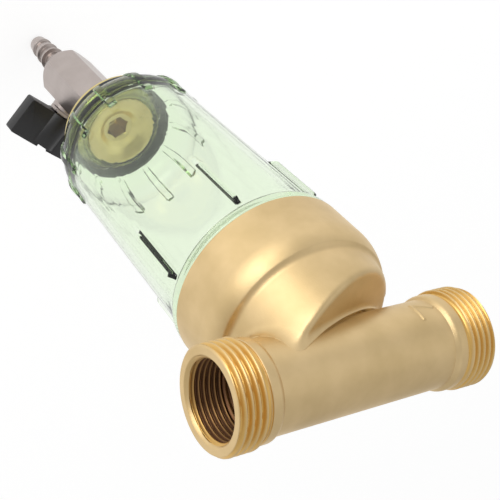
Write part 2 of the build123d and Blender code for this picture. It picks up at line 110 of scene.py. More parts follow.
# Rows of points made about Z are set on another axis: place = origin + x*xWay + y*yWay + z*zWay.
def onAxis(rows, origin, xWay, yWay, zWay):
    return np.asarray(origin, float) + rows @ np.array([xWay, yWay, zWay], float)


# A closed grid: its columns join round, and its rows either join end to start or close in a point at both
# ends. The faces are turned over where the volume inside them comes out negative.
def gridFaces(rows, loop):
    n, m = rows.shape[:2]
    row, col = np.meshgrid(np.arange(n if loop else n - 1), np.arange(m), indexing="ij")
    nextRow, nextCol = (row + 1) % n, (col + 1) % m
    quads = np.stack([row * m + col, row * m + nextCol, nextRow * m + nextCol, nextRow * m + col], -1)
    quads = quads.reshape(-1, 4)
    points = rows.reshape(-1, 3)
    a, b, c, d = (points[quads[:, k]] for k in range(4))
    volume = np.sum(np.cross(b, c) * a) + np.sum(np.cross(c, d) * a)
    return points, quads if volume > 0 else quads[:, ::-1]


# Joins closed grids into one object, in metres. A point attribute gives each point's finish: unworked, thread
# flank or deep bore, where a dark shade is painted, or a value between them.
def makePiece(name, grids, material, body, replaces, sharp):
    points, faces, finishAndBoreShade, count = [], [], [], 0
    for rows, loop, finish in grids:
        p, q = gridFaces(rows, loop)
        points.append(p)
        faces.append(q + count)
        finishAndBoreShade.append(np.broadcast_to(finish, rows.shape[:2]).reshape(-1))
        count += len(p)
    mesh = bpy.data.meshes.new(name)
    mesh.from_pydata((np.concatenate(points) * mm).tolist(), [], np.concatenate(faces).tolist())
    layer = mesh.attributes.new("finishAndBoreShade", "FLOAT", "POINT")
    layer.data.foreach_set("value", np.concatenate(finishAndBoreShade).astype(np.float32))
    mesh.polygons.foreach_set("use_smooth", np.ones(len(mesh.polygons), bool))
    mesh.update()
    mesh.set_sharp_from_angle(angle=np.radians(sharp))
    piece = bpy.data.objects.new(name, mesh)
    bpy.context.scene.collection.objects.link(piece)
    closeEnds(mesh)
    mesh.materials.append(material)
    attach(piece, body)
    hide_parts(replaces)


# The rows that end in a point hold it many times over, so those points are merged.
def closeEnds(mesh):
    work = bmesh.new()
    work.from_mesh(mesh)
    bmesh.ops.remove_doubles(work, verts=work.verts, dist=mergeDistance)
    work.to_mesh(mesh)
    work.free()


# ways to build materials

def newMaterial(name):
    material = bpy.data.materials.new(name)
    material.use_nodes = True
    return material, material.node_tree, material.node_tree.nodes["Principled BSDF"]


def addNode(tree, kind, **values):
    node = tree.nodes.new(kind)
    for key, value in values.items():
        if hasattr(node, key):
            setattr(node, key, value)
        else:
            node.inputs[key].default_value = value
    return node


# Group: cloudy tone and fine grain of a surface, from Object coordinates in metres.
def makeGrainGroup():
    group = bpy.data.node_groups.new("surfaceGrain", "ShaderNodeTree")
    for name in ("Broad scale", "Fine scale", "Fine share"):
        group.interface.new_socket(name=name, in_out="INPUT", socket_type="NodeSocketFloat")
    for name in ("Tone", "Height"):
        group.interface.new_socket(name=name, in_out="OUTPUT", socket_type="NodeSocketFloat")
    ins, outs = group.nodes.new("NodeGroupInput"), group.nodes.new("NodeGroupOutput")
    place = group.nodes.new("ShaderNodeTexCoord")
    broad = addNode(group, "ShaderNodeTexNoise", Detail=3.0, Roughness=0.55)
    fine = addNode(group, "ShaderNodeTexNoise", Detail=4.0, Roughness=0.65)
    mix = addNode(group, "ShaderNodeMix", data_type="FLOAT")
    link = group.links.new
    link(place.outputs["Object"], broad.inputs["Vector"])
    link(place.outputs["Object"], fine.inputs["Vector"])
    link(ins.outputs["Broad scale"], broad.inputs["Scale"])
    link(ins.outputs["Fine scale"], fine.inputs["Scale"])
    link(ins.outputs["Fine share"], mix.inputs[0])
    link(broad.outputs["Fac"], mix.inputs[2])
    link(fine.outputs["Fac"], mix.inputs[3])
    link(broad.outputs["Fac"], outs.inputs["Tone"])
    link(mix.outputs[0], outs.inputs["Height"])
    return group


grainGroup = makeGrainGroup()


# A grain is a broad scale, a fine scale and the fine one's share.
def useGrain(tree, grain):
    node = tree.nodes.new("ShaderNodeGroup")
    node.node_tree = grainGroup
    for name, value in zip(("Broad scale", "Fine scale", "Fine share"), grain):
        node.inputs[name].default_value = value
    return node


def ramp(tree, source, stops):
    node = tree.nodes.new("ShaderNodeValToRGB")
    while len(node.color_ramp.elements) < len(stops):
        node.color_ramp.elements.new(0.5)
    for element, (place, colour) in zip(node.color_ramp.elements, stops):
        element.position = place
        element.color = (*colour, 1)
    tree.links.new(source, node.inputs["Fac"])
    return node


cloudSpan = (0.3, 0.7)


def cloudyColour(tree, grain, dark, light):
    return ramp(tree, grain.outputs["Tone"], list(zip(cloudSpan, (dark, light)))).outputs["Color"]


def mixValue(tree, factor, span):
    node = tree.nodes.new("ShaderNodeMapRange")
    node.inputs["To Min"].default_value, node.inputs["To Max"].default_value = span
    tree.links.new(factor, node.inputs["Value"])
    return node.outputs["Result"]


# A bump is a strength and a distance in metres.
def bumpFrom(tree, shader, height, bump):
    node = addNode(tree, "ShaderNodeBump", Strength=bump[0], Distance=bump[1])
    tree.links.new(height, node.inputs["Height"])
    tree.links.new(node.outputs["Normal"], shader.inputs["Normal"])


# The bore colour is a dark brown painted shade for the insides of bores and passages.
brassLook = dict(castDark=(0.625, 0.463, 0.235), castLight=(0.76, 0.575, 0.315), flank=(0.74, 0.47, 0.15),
                 bore=(0.20, 0.10, 0.05), castRough=0.40, flankRough=0.30, boreRough=0.42, grainRough=0.12,
                 grain=(60.0, 1700.0, 0.85), grainFade=(1.0, 0.06), bump=(0.22, 0.0002))


# Sand-cast brass: nearly even tone and a fine pitted grain. The finish attribute goes from 0 on cast skin
# to 1 on thread flanks and 2 deep in the bores, where a dark brown painted shade stands for their shadow and
# the grain fades out.
def makeCastBrass(name, look):
    material, tree, shader = newMaterial(name)
    link = tree.links.new
    grain = useGrain(tree, look["grain"])
    cast = cloudyColour(tree, grain, look["castDark"], look["castLight"])
    finishOrShade = addNode(tree, "ShaderNodeAttribute", attribute_name="finishAndBoreShade")
    half = addNode(tree, "ShaderNodeMath", operation="MULTIPLY")
    half.inputs[1].default_value = 0.5
    link(finishOrShade.outputs["Fac"], half.inputs[0])
    # Flank colour, then the dark painted bore shade where the attribute reaches 2.
    flankOrBoreShade = ramp(tree, half.outputs[0], [(0.5, look["flank"]), (1.0, look["bore"])])
    both = addNode(tree, "ShaderNodeMix", data_type="RGBA")
    link(finishOrShade.outputs["Fac"], both.inputs[0])
    link(cast, both.inputs[6])
    link(flankOrBoreShade.outputs["Color"], both.inputs[7])
    link(both.outputs[2], shader.inputs["Base Color"])
    steps = zip((0.0, 0.5, 1.0), (look["castRough"], look["flankRough"], look["boreRough"]))
    gloss = ramp(tree, half.outputs[0], [(place, (rough,) * 3) for place, rough in steps])
    extra = addNode(tree, "ShaderNodeMath", operation="MULTIPLY_ADD")
    extra.inputs[1].default_value = look["grainRough"]
    link(grain.outputs["Height"], extra.inputs[0])
    link(gloss.outputs["Color"], extra.inputs[2])
    link(extra.outputs[0], shader.inputs["Roughness"])
    height = addNode(tree, "ShaderNodeMath", operation="MULTIPLY")
    link(grain.outputs["Height"], height.inputs[0])
    link(mixValue(tree, finishOrShade.outputs["Fac"], look["grainFade"]), height.inputs[1])
    bumpFrom(tree, shader, height.outputs[0], look["bump"])
    shader.inputs["Metallic"].default_value = 1.0
    return material


# Any other opaque surface: a faint cloudiness of colour, and a fine grain in its gloss and bump.
# Where lines gives their scale along each axis, gloss and bump follow fine lines instead.
def makeSurface(name, look, metallic=0.0, lines=None):
    material, tree, shader = newMaterial(name)
    link = tree.links.new
    grain = useGrain(tree, look["grain"])
    link(cloudyColour(tree, grain, look["dark"], look["light"]), shader.inputs["Base Color"])
    relief = grain.outputs["Height"]
    if lines:
        place = tree.nodes.new("ShaderNodeTexCoord")
        stretch = tree.nodes.new("ShaderNodeMapping")
        stretch.inputs["Scale"].default_value = lines
        drawn = addNode(tree, "ShaderNodeTexNoise", Scale=1.0, Detail=2.0)
        link(place.outputs["Object"], stretch.inputs["Vector"])
        link(stretch.outputs["Vector"], drawn.inputs["Vector"])
        relief = drawn.outputs["Fac"]
    link(mixValue(tree, relief, look["rough"]), shader.inputs["Roughness"])
    bumpFrom(tree, shader, relief, look["bump"])
    shader.inputs["Metallic"].default_value = metallic
    return material


turnedLook = dict(dark=(0.60, 0.50, 0.22), light=(0.74, 0.62, 0.31), rough=(0.20, 0.34),
                  grain=(90.0, 1900.0, 0.55), bump=(0.05, 0.00008))
# A brighter copy of turned brass for the drain nut: painted light that makes up for the light the clear bowl
# holds back.
litNutLook = dict(turnedLook, dark=(0.80, 0.64, 0.26), light=(0.98, 0.80, 0.38), rough=(0.22, 0.36))
nickelLook = dict(dark=(0.43, 0.375, 0.35), light=(0.50, 0.44, 0.415), rough=(0.22, 0.42),
                  grain=(90.0, 2600.0, 0.4), bump=(0.05, 0.0001))
zincLook = dict(nickelLook, dark=(0.50, 0.50, 0.51), light=(0.66, 0.66, 0.67), rough=(0.18, 0.38))
steelLook = dict(nickelLook, dark=(0.42, 0.42, 0.41), light=(0.58, 0.58, 0.56), rough=(0.26, 0.46))
rubberLook = dict(dark=(0.012, 0.013, 0.018), light=(0.022, 0.023, 0.03), rough=(0.42, 0.60),
                  grain=(70.0, 2200.0, 0.7), bump=(0.15, 0.00012))
leverLook = dict(rubberLook, dark=(0.010, 0.010, 0.011), light=(0.018, 0.018, 0.019), rough=(0.30, 0.48),
                 grain=(70.0, 3000.0, 0.7))
whiteLook = dict(rubberLook, dark=(0.62, 0.62, 0.60), light=(0.74, 0.74, 0.72), rough=(0.37, 0.55),
                 bump=(0.05, 0.00012))
alongBar, allWays = (900.0, 900.0, 40.0), (3000.0, 3000.0, 3000.0)

clearLook = dict(tint=(0.95, 0.98, 0.92), absorb=(0.55, 0.80, 0.36), density=38.0, rough=(0.015, 0.045),
                 ior=1.49, lampShare=(0.93, 0.97, 0.90), grain=(120.0, 900.0, 0.3), bump=(0.05, 0.0003))


# Clear moulded plastic: the tint deepens where light goes a long way through the wall, as at edges and ribs.
# Rays from the lamps pass straight through, so that they reach what is inside.
def makeClear(name, look):
    material, tree, shader = newMaterial(name)
    link = tree.links.new
    shader.inputs["Base Color"].default_value = (*look["tint"], 1)
    shader.inputs["Transmission Weight"].default_value = 1.0
    shader.inputs["IOR"].default_value = look["ior"]
    grain = useGrain(tree, look["grain"])
    link(mixValue(tree, grain.outputs["Height"], look["rough"]), shader.inputs["Roughness"])
    bumpFrom(tree, shader, grain.outputs["Tone"], look["bump"])
    surface = tree.nodes["Material Output"].inputs
    depth = addNode(tree, "ShaderNodeVolumeAbsorption", Density=look["density"])
    depth.inputs["Color"].default_value = (*look["absorb"], 1)
    link(depth.outputs["Volume"], surface["Volume"])
    path = tree.nodes.new("ShaderNodeLightPath")
    clear = addNode(tree, "ShaderNodeBsdfTransparent", Color=(*look["lampShare"], 1))
    both = tree.nodes.new("ShaderNodeMixShader")
    link(path.outputs["Is Shadow Ray"], both.inputs[0])
    link(shader.outputs["BSDF"], both.inputs[1])
    link(clear.outputs["BSDF"], both.inputs[2])
    link(both.outputs["Shader"], surface["Surface"])
    return material


castBrass = makeCastBrass("castBrass", brassLook)
turnedBrass = makeSurface("turnedBrass", turnedLook, metallic=1.0)
litNutBrass = makeSurface("litNutBrass", litNutLook, metallic=1.0)
nickel = makeSurface("nickel", nickelLook, metallic=1.0, lines=alongBar)
zinc = makeSurface("zinc", zincLook, metallic=1.0, lines=alongBar)
steelMesh = makeSurface("steelMesh", steelLook, metallic=1.0, lines=allWays)
clearGreen = makeClear("clearGreen", clearLook)
blackRubber = makeSurface("blackRubber", rubberLook)
blackPlastic = makeSurface("blackPlastic", leverLook)
whitePlastic = makeSurface("whitePlastic", whiteLook)
print("materials built")


# camera and stage

cameraPlace = dict(eye=(190.34, -189.86, 172.89), right=(-0.8267, -0.1992, 0.5262),
                   down=(0.1466, 0.8267, 0.5433), forward=(-0.5432, 0.5263, -0.6542), lens=75.09, sensor=36.0,
                   clip=(0.01, 20.0))


# The three directions are made exactly square to each other before they turn the camera.
def makeCamera(place):
    data = bpy.data.cameras.new("camera")
    data.lens = place["lens"]
    data.sensor_width = place["sensor"]
    data.clip_start, data.clip_end = place["clip"]
    camera = bpy.data.objects.new("camera", data)
    bpy.context.scene.collection.objects.link(camera)
    axes = np.array([place["right"], -np.array(place["down"]), -np.array(place["forward"])]).T
    square, size = np.linalg.qr(axes)
    turn = Matrix([list(row) for row in square * np.sign(np.diag(size))]).to_4x4()
    camera.matrix_world = Matrix.Translation([c * mm for c in place["eye"]]) @ turn
    bpy.context.scene.camera = camera


makeCamera(cameraPlace)

stageLook = dict(floorDrop=0.0015, floorSize=14.0, floorColour=(0.4, 0.4, 0.4), floorGlow=0.72,
                 floorRough=0.9, white=(1.0, 1.0, 1.0), skyStrength=0.62, aim=(0.0, 0.0, -0.06))


def makeFloor(look):
    low = cadBox[0].z - look["floorDrop"]
    s = look["floorSize"] / 2
    mesh = bpy.data.meshes.new("floor")
    mesh.from_pydata([(-s, -s, low), (s, -s, low), (s, s, low), (-s, s, low)], [], [(0, 1, 2, 3)])
    floor = bpy.data.objects.new("floor", mesh)
    bpy.context.scene.collection.objects.link(floor)
    material, tree, shader = newMaterial("paleFloor")
    shader.inputs["Base Color"].default_value = (*look["floorColour"], 1)
    shader.inputs["Roughness"].default_value = look["floorRough"]
    shader.inputs["Specular IOR Level"].default_value = 0.0
    shader.inputs["Emission Color"].default_value = (*look["white"], 1)
    shader.inputs["Emission Strength"].default_value = look["floorGlow"]
    mesh.materials.append(material)


makeFloor(stageLook)

lamps = dict(
    key=dict(at=(0.42, -0.50, -0.06), size=0.55, power=2.0, colour=(1.0, 0.985, 0.96)),
    fill=dict(at=(-0.45, -0.35, 0.45), size=0.7, power=0.3, colour=(0.97, 0.985, 1.0)),
    top=dict(at=(0.1, 0.2, 0.75), size=0.8, power=0.2, colour=(1.0, 1.0, 1.0)),
)


def makeLamp(name, look):
    data = bpy.data.lights.new(name, "AREA")
    data.shape = "DISK"
    data.size = look["size"]
    data.energy = look["power"]
    data.color = look["colour"]
    lamp = bpy.data.objects.new(name, data)
    bpy.context.scene.collection.objects.link(lamp)
    way = Vector(stageLook["aim"]) - Vector(look["at"])
    lamp.rotation_euler = way.to_track_quat("-Z", "Y").to_euler()
    lamp.location = look["at"]
    lamp.visible_camera = False


for name, look in lamps.items():
    makeLamp(name, look)


def makeSky(look):
    world = bpy.data.worlds.new("world")
    bpy.context.scene.world = world
    world.use_nodes = True
    sky = world.node_tree.nodes["Background"]
    sky.inputs["Color"].default_value = (*look["white"], 1)
    sky.inputs["Strength"].default_value = look["skyStrength"]


makeSky(stageLook)
bpy.context.scene.view_settings.view_transform = "Standard"
print("camera, floor and lamps set")


# head casting

head = dict(rim=33.4, rimHeight=45.0, shoulderStart=30.5, shoulderBend=(32.8, -25.2), shoulder=(31.3, -21.5),
            ledge=(30.4, -20.8), foot=(29.7, -19.3), draft=9.4, roof=-6.8, tilt=20.3, crease=2.2,
            junction=3.0, pipe=14.5, neckThread=29.65, neckTop=37.3, mouthBevel=0.6, sealBore=28.65,
            sealLow=36.0, sealTop=31.4, channel=25.5, channelLow=27.0, channelTop=23.5, roofWall=3.4,
            closer=0.8, wave=0.05, columns=360,
            rowCounts=dict(roof=64, corner=9, wall=25, ledge=8, shoulder=21, rim=8), turned=0.8)
boss = dict(bore=11.6, radius=15.5, top=10.0, low=33.0, bend=0.4, columns=96, turned=0.6)


# The bell and drum as radius and height for each angle: a tilted plane makes the roof,
# z = roof + tan(tilt)*x, and the drafted wall is r = foot - tan(draft)*(z - foot height). They meet where
# both hold, and there a parabola rounds the edge.
def bellRows(look):
    angle = fullTurn(look["columns"])
    draft, tilt = np.tan(np.radians(look["draft"])), np.tan(np.radians(look["tilt"]))
    footR, footZ = look["foot"]
    counts = look["rowCounts"]

    def meeting(radius, roof):
        r = (radius - draft * (roof - footZ)) / (1 + draft * tilt * np.cos(angle))
        return r, roof + tilt * r * np.cos(angle)

    def shares(name):
        return np.linspace(0.0, 1.0, counts[name] + 1)[1:]

    cornerR, cornerZ = meeting(footR, look["roof"])
    bend = look["crease"]
    inner = cornerR - bend
    closer = np.linspace(0.0, 1.0, counts["roof"]) ** look["closer"]
    rows = [ringOf(inner * a, look["roof"] + tilt * inner * a * np.cos(angle), angle) for a in closer]
    slope = np.sqrt(1 + (tilt * np.cos(angle)) ** 2)
    startR, startZ = cornerR - bend / slope, cornerZ - tilt * np.cos(angle) * bend / slope
    wallLength = np.maximum(cornerZ - footZ, 0.5)
    down = np.minimum(bend, 0.6 * wallLength)
    endR, endZ = cornerR + draft * down, cornerZ - down
    for a in shares("corner"):
        rows.append(ringOf((1 - a) ** 2 * startR + 2 * a * (1 - a) * cornerR + a * a * endR,
                           (1 - a) ** 2 * startZ + 2 * a * (1 - a) * cornerZ + a * a * endZ, angle))
    for a in shares("wall"):
        rows.append(ringOf(endR + a * (footR - endR), endZ + a * (footZ - endZ), angle))
    rim, start, low = look["rim"], -look["shoulderStart"], -look["rimHeight"]
    ledge = arcThrough(look["foot"], look["ledge"], look["shoulder"], counts["ledge"] + 1)[1:]
    shoulder = arcThrough(look["shoulder"], look["shoulderBend"], (rim, start), counts["shoulder"] + 1)[1:]
    thread, seal, channel, bevel = look["neckThread"], look["sealBore"], look["channel"], look["mouthBevel"]
    under = bendCorners([(rim, start - 1.0), (rim, low), (thread + bevel, low), (thread, low + bevel),
                         (thread, -look["neckTop"]), (seal, -look["sealLow"]), (seal, -look["sealTop"]),
                         (channel, -look["channelLow"]), (channel, -look["channelTop"])],
                        [0, 0.55, 0.1, 0.1, 0.1, 0.1, 0.1, 0.3, 0], loop=False)
    rows += [ringOf(r, z, angle) for r, z in np.concatenate([ledge, shoulder, under])]
    ceiling = look["roof"] - look["roofWall"]
    capR = meeting(channel, ceiling)[0]
    rows += [ringOf(capR * a, ceiling + tilt * capR * a * np.cos(angle), angle) for a in (1.0, 0.6, 0.0)]
    return np.stack(rows)


blend = dict(crease=0.9, before=3.0, over=2.0, step=0.02, rounds=8, steep=0.2, sink=0.35)


# Rounded meeting of drum and pipe: with a and b the distances outside each of them, the blended surface is
# where max(s, min(a, b)) equals the length of (max(s-a, 0), max(s-b, 0)), with s the size of the rounding.
# Points near the joint are stepped onto it. Those that lie on the pipe alone then sink a little into it.
def blendToPipe(rows, look, count):
    draft, tilt = np.tan(np.radians(look["draft"])), np.tan(np.radians(look["tilt"]))
    footR, footZ = look["foot"]
    size = look["junction"]

    def parts(p):
        r = np.hypot(p[..., 0], p[..., 1])
        roof = (p[..., 2] - look["roof"] - tilt * p[..., 0]) / np.hypot(1, tilt)
        wall = (r - (footR - draft * (p[..., 2] - footZ))) / np.hypot(1, draft)
        soft = look["crease"] * blend["crease"]
        both = np.hypot(np.maximum(soft + roof, 0), np.maximum(soft + wall, 0))
        drum = np.minimum(np.maximum(roof, wall), -soft) + both
        return drum, np.hypot(p[..., 1], p[..., 2]) - look["pipe"]

    def field(p):
        a, b = parts(p)
        near = np.hypot(np.maximum(size - a, 0), np.maximum(size - b, 0))
        return np.maximum(size, np.minimum(a, b)) - near

    top = rows[:count].copy()
    start = parts(top)[1]
    share = np.clip((start + size + blend["before"]) / 2.0, 0, 1) * (start < size + blend["over"])
    moved = top.copy()
    h = blend["step"]
    for _ in range(blend["rounds"]):
        f = field(moved)
        grad = np.stack([(field(moved + step) - field(moved - step)) / (2 * h) for step in np.eye(3) * h], -1)
        moved -= (f / np.maximum((grad ** 2).sum(-1), blend["steep"]))[..., None] * grad
    sink = blend["sink"] * np.clip(parts(moved)[0] - size, 0, 1)
    toAxis = moved * np.array([0, 1, 1])
    toAxis /= np.linalg.norm(toAxis, axis=-1, keepdims=True) + 1e-9
    moved -= sink[..., None] * toAxis
    rows[:count] = top + share[..., None] * (moved - top)
    return rows


waves = ((0.23, 0.0, 0.31, 0.0), (0.0, 0.29, -0.17, 1.3), (0.19, 0.0, 0.41, 2.1))


# Slow waviness of the casting, always inwards, as a sum of sines of the place.
def waviness(p, size):
    w = sum(np.sin(a * p[..., 0] + b * p[..., 1] + c * p[..., 2] + d) for a, b, c, d in waves) / len(waves)
    return size * (0.5 + 0.5 * w)


# The bell's outside is blended and waved, and all rows from the rim's underside on are turned.
def finishedBell(look):
    counts = look["rowCounts"]
    drumRows = counts["roof"] + counts["corner"] + counts["wall"]
    outsideRows = drumRows + counts["ledge"] + counts["shoulder"]
    bell = blendToPipe(bellRows(look), look, drumRows)
    outside = slice(counts["roof"], outsideRows)
    wayOut = bell[outside] * np.array([1, 1, 0])
    wayOut /= np.linalg.norm(wayOut, axis=-1, keepdims=True)
    bell[outside] -= waviness(bell[outside], look["wave"])[..., None] * wayOut
    turned = np.zeros(bell.shape[0])
    turned[outsideRows + counts["rim"]:] = look["turned"]
    return bell, turned[:, None]


# The boss is a short tube round the Z axis: a rectangle of radius and height, its corners rounded.
def bossRows(look):
    bore, radius, top, low = look["bore"], look["radius"], -look["top"], -look["low"]
    outline = bendCorners([(bore, top), (radius, top), (radius, low), (bore, low)], look["bend"])
    return spin(outline, look["columns"])


bell, bellTurned = finishedBell(head)
print("bell worked out:", bell.shape)

port = dict(face=48.6, crest=16.62, root=15.14, pitch=2.309, length=11.4, chamfer=0.9, collar=15.7,
            collarLength=3.2, taper=1.3, pipe=14.5, passage=10.5, innerCrest=12.06, innerRoot=13.22,
            innerPitch=1.814, innerLength=14.0, innerChamfer=1.56, runIn=3.0, mouth=13.35, mouthSlope=0.9,
            fadeFrom=0.6, fadeLength=1.2, edge=0.12, columns=176, rowsPerTurn=10, farEnd=7.5, nearEnd=14.7,
            wallStart=31.5, chevronStart=-22.5, chevronEnd=-32.1, turnEnd=-16.0, turnBore=11.4,
            turnDepth=31.0, plainRows=32, raisedRows=48, turnRows=24)
chevron = dict(point=(-25.3, -4.3), ends=((-31.3, -1.1), (-25.0, 2.8)), half=0.85, height=0.42, columns=60,
               span=(162.0, 205.0))


# Thread form between 0 and 1: a triangle wave along the axis that moves one pitch in each turn, with round
# crests.
def threadForm(along, angle, pitch):
    turns = along / pitch - angle / (2 * np.pi)
    wave = 1 - np.abs(2 * (turns - np.floor(turns)) - 1)
    return 0.55 * wave + 0.45 * (0.5 - 0.5 * np.cos(np.pi * np.clip(1.25 * wave - 0.1, 0, 1)))


# Inner thread of a port, from its inner end out to the mouth's cone. Its finish goes from the bore's painted
# dark shade deep inside to that of the face, and the painted shade is lighter on the crests.
def innerThread(look, side, angle):
    face, start, crest = look["face"], look["face"] - look["innerLength"], look["innerCrest"]
    rows = [(start - look["innerChamfer"], look["passage"], paintedBoreShade), (start, crest, paintedBoreShade)]
    count = int(look["innerLength"] / look["innerPitch"] * look["rowsPerTurn"])
    for x in np.linspace(start + 0.1, face - 0.25, count):
        form = threadForm(x, angle * side, look["innerPitch"])
        r = look["innerRoot"] - (look["innerRoot"] - crest) * form
        r = crest + (r - crest) * np.clip((x - start) / look["runIn"], 0, 1)
        r = np.maximum(r, look["mouth"] - (face - x) * look["mouthSlope"])
        finish = 0.3 + 1.7 * np.clip((face - x - 0.6) / 2.4, 0, 1) - 0.35 * np.clip(3 * form - 2, 0, 1)
        rows.append((x, r, finish))
    return rows


# Outer thread of a port from its chamfer to where it fades out, with bare crests, and the collar behind it.
def outerThread(look, side, angle):
    face, edge = look["face"], look["edge"]
    end = face - look["length"]
    chamferStart = look["crest"] - look["chamfer"]
    rows = []
    count = int((look["length"] - edge) / look["pitch"] * look["rowsPerTurn"])
    for x in np.linspace(face - 2 * edge, end + 0.15, count):
        form = threadForm(x, -angle * side, look["pitch"])
        fade = np.clip((x - end - look["fadeFrom"]) / look["fadeLength"], 0, 1)
        r = look["root"] + (look["crest"] - look["root"]) * form * fade
        finish = threadFlank - 0.85 * np.clip((form - 0.72) / 0.16, 0, 1)
        rows.append((x, np.minimum(r, chamferStart + face - x), finish))
    collarEnd = end - look["collarLength"]
    taperEnd = collarEnd - look["taper"]
    collar = bendCorners([(end + 0.1, look["root"]), (end - 0.1, look["collar"]), (collarEnd, look["collar"]),
                          (taperEnd, look["pipe"]), (taperEnd - 0.5, look["pipe"])],
                         [0, 0.3, 0.8, 0.9, 0], loop=False)
    return rows + [(x, r, 0.8 if i < 2 else unworked) for i, (x, r) in enumerate(collar)]


# One port from its inner end to the plain pipe: a place along the axis, radii and finish for each row.
def portRows(look, side, angle):
    face, edge, mouth = look["face"], look["edge"], look["mouth"]
    chamferStart = look["crest"] - look["chamfer"]
    ring = [(face - edge, mouth - edge * 0.4, 0.2)]
    ring += [(face, mouth + step * edge, 0.1) for step in (1.0, 2.5)]
    ring += [(face, chamferStart - step * edge, 0.1) for step in (2.5, 1.0)]
    ring += [(face - edge, chamferStart, 0.1)]
    return innerThread(look, side, angle) + ring + outerThread(look, side, angle)


# Height of the raised chevron: the pipe's wall is unrolled, and a soft ridge follows the two strokes from the
# point.
def chevronHeight(look, x, angle, pipe):
    place = np.stack([x + 0 * angle, pipe * (np.pi - angle)], -1)
    point = np.array(look["point"])
    nearest = np.inf
    for end in look["ends"]:
        way = np.array(end) - point
        along = np.clip(((place - point) @ way) / (way @ way), 0, 1)
        nearest = np.minimum(nearest, np.linalg.norm(place - point - along[..., None] * way, axis=-1))
    share = np.clip(1.25 * (1 - nearest / look["half"]), 0, 1)
    return look["height"] * share * share * (3 - 2 * share)


# The pipe with both ports as one closed grid about the X axis. The far port's passage also opens downwards:
# straight down it reaches the boss bore, r = sqrt(bore^2 - x^2)/|cos|, no deeper than the boss.
def pipeRows(look):
    low, high = np.radians(chevron["span"])
    even = fullTurn(look["columns"])
    angle = np.concatenate([even[even < low], np.linspace(low, high, chevron["columns"]), even[even > high]])
    plain = np.linspace(look["wallStart"], look["chevronStart"], look["plainRows"])
    raised = np.linspace(look["chevronStart"] - 0.5, look["chevronEnd"], look["raisedRows"])
    wall = [(x, look["pipe"] + chevronHeight(chevron, x, angle, look["pipe"]), unworked)
            for x in np.concatenate([plain, raised])]
    passage, turn = look["passage"], []
    for x in np.linspace(look["farEnd"] - 0.05, look["turnEnd"], look["turnRows"]):
        side = np.sqrt(np.maximum(look["turnBore"] ** 2 - x * x, 0)) / np.maximum(np.abs(np.cos(angle)), 0.05)
        deep = look["turnDepth"] / np.maximum(-np.sin(angle), 0.05)
        below = np.maximum(passage, np.minimum(side, deep))
        turn.append((x, np.where(np.sin(angle) < -0.05, below, passage), paintedBoreShade))
    # The passage walls and blind ends take the full painted bore shade.
    blind = [(0.0, paintedBoreShade), (passage * 0.98, paintedBoreShade)]
    path = [(look["nearEnd"], *end) for end in blind] + [(look["nearEnd"] + 0.1, passage, paintedBoreShade)]
    path += portRows(look, 1, angle) + wall + [(-x, r, f) for x, r, f in portRows(look, -1, angle)[::-1]]
    path += turn[::-1] + [(look["farEnd"], *end) for end in blind[::-1]]
    xs, rs, finish = (np.stack([np.broadcast_to(row[k], angle.shape) for row in path]) for k in range(3))
    return np.stack([xs, rs * np.cos(angle), rs * np.sin(angle)], -1), finish


pipe, pipeFinish = pipeRows(port)
makePiece("headBell", [(bell, False, bellTurned), (bossRows(boss), True, boss["turned"])], castBrass, "head",
          "head_casting", sharp=60)
makePiece("headPipe", [(pipe, False, pipeFinish)], castBrass, "head", "head_casting", sharp=75)
print("head made")


# bowl

bowl = dict(neckBore=25.2, neckTop=30.8, sealLand=28.6, threadTop=36.4, thread=29.55, flange=33.1,
            flangeTop=45.15, flangeEnd=48.65, start=49.6, top=31.0, low=28.9, wall=2.9, cornerStart=136.5,
            cornerMiddle=(27.5, -146.2), edge=(22.8, -151.8), spigot=17.6, bottom=155.2, drainBore=8.1,
            wellFloor=152.2, well=14.8, floor=149.0, funnelTop=140.4, funnelBend=11.0, wallEnd=129.5,
            cornerRows=44, innerTop=56.0, innerRows=14, neckStep=(53.5, 51.6, 48.7),
            wallSpans=((-51.3, -51.6, 2), (-52.0, -53.5, 4), (-54, -73, 8), (-74, -79, 8), (-84, -128, 14)))
rib = dict(count=6, phase=-6.0, half=0.85, radius=32.0, reach=33.15, draft=0.5 / 26, top=51.6, end=77.6,
           slope=3.4, rise=1.8)
lug = dict(count=12, phase=6.0, half=1.5, radius=28.5, height=0.9, top=131.0, rise=0.8, fade=2.0)
sideEdge = 0.22
bowlColumns = dict(step=2.5, beside=(0.24, 0.02, -0.2), apart=0.12)


# How much of a rib or lug stands at each angle: 1 within its half width, 0 just outside, repeated round the
# axis.
def ribMask(angle, look):
    step = 2 * np.pi / look["count"]
    off = (angle - np.radians(look["phase"]) + step / 2) % step - step / 2
    across = np.abs(off) * look["radius"]
    return np.clip((look["half"] + sideEdge - across) / (2 * sideEdge), 0, 1)


# Column angles: an even set, with more of them at the sides of every rib and lug.
def bowlAngles():
    parts = [np.radians(np.arange(0, 360, bowlColumns["step"]))]
    beside = np.array(bowlColumns["beside"])
    for look in (rib, lug):
        half = look["half"]
        middle = np.radians(look["phase"]) + fullTurn(look["count"])
        offsets = np.concatenate([-half - beside, half + beside[::-1]])
        parts.append((middle[:, None] + offsets / look["radius"]).reshape(-1))
    every = np.sort(np.concatenate(parts) % (2 * np.pi))
    return every[np.r_[True, np.diff(every) > np.radians(bowlColumns["apart"])]]


# The same line with its points at equal steps.
def evenSteps(line, count):
    d = np.r_[0, np.cumsum(np.linalg.norm(np.diff(line, axis=0), axis=1))]
    t = np.linspace(0, d[-1], count)
    return np.stack([np.interp(t, d, line[:, 0]), np.interp(t, d, line[:, 1])], 1)


